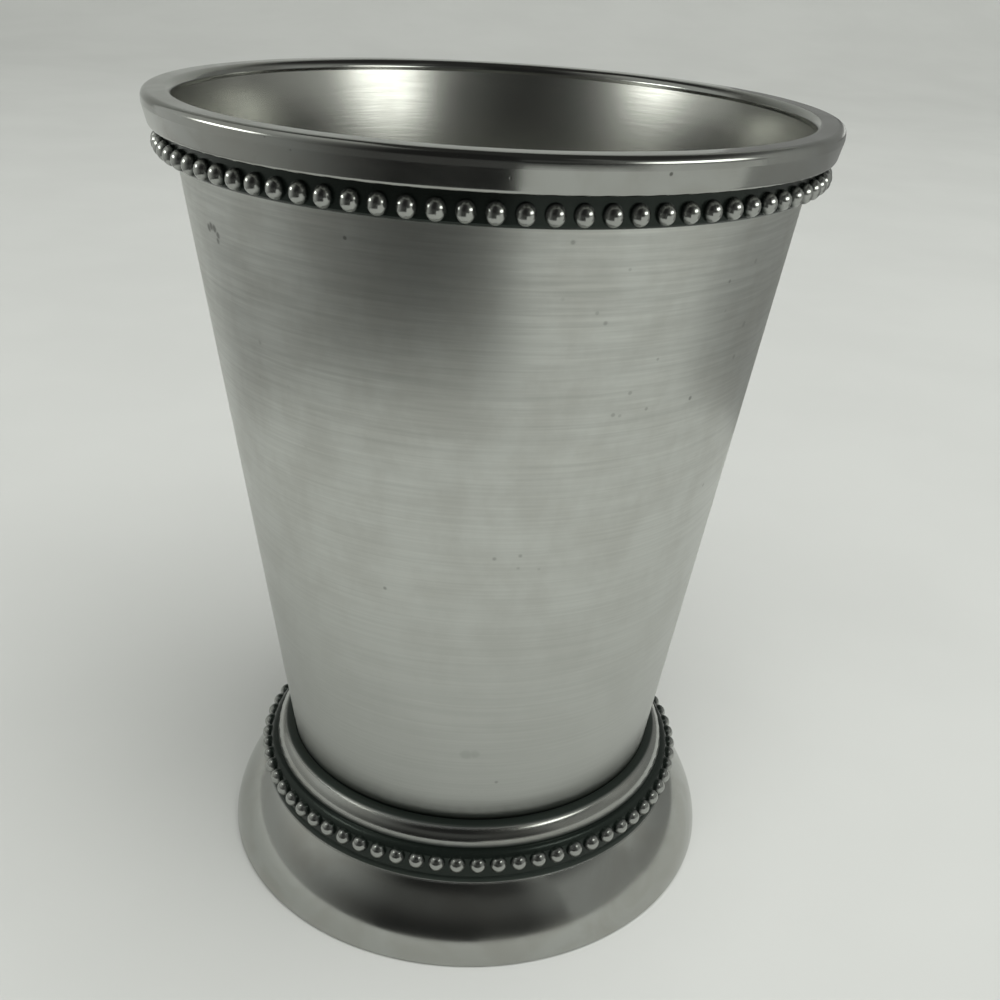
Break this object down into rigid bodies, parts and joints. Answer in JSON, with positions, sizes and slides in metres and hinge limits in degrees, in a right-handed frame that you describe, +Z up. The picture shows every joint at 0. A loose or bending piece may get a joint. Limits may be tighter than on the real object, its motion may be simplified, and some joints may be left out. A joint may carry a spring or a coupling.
{
  "type": "julep cup",
  "caption": "Tapered metal julep cup with a rounded lip, a plain band and a beaded strip at the rim, on a flared foot with a polished roll and a second beaded strip.",
  "frame": {"origin": "centre of the foot's resting circle, on the plane of the table", "axes": "+Z up along the cup's axis to the open mouth; X and Y level"},
  "size_m": [0.0844, 0.0844, 0.108],
  "materials": {
    "satin_metal": "fine satin, brushed round the axis, lightly tarnished",
    "polished_metal": "polished, softly worn",
    "oxidised_metal": "bright bead tops in a dark oxidised channel",
    "solder_metal": "dull solder"
  },
  "bodies": {
    "root": {"cup_wall": "satin_metal", "cup_floor": "satin_metal", "rim_lip": "polished_metal", "rim_band": "polished_metal", "rim_bead_wire": "oxidised_metal", "foot_collar": "polished_metal", "foot_bead_wire": "oxidised_metal", "foot_skirt": "polished_metal", "floor_solder": "solder_metal", "foot_solder": "solder_metal"}
  },
  "joints": []
}
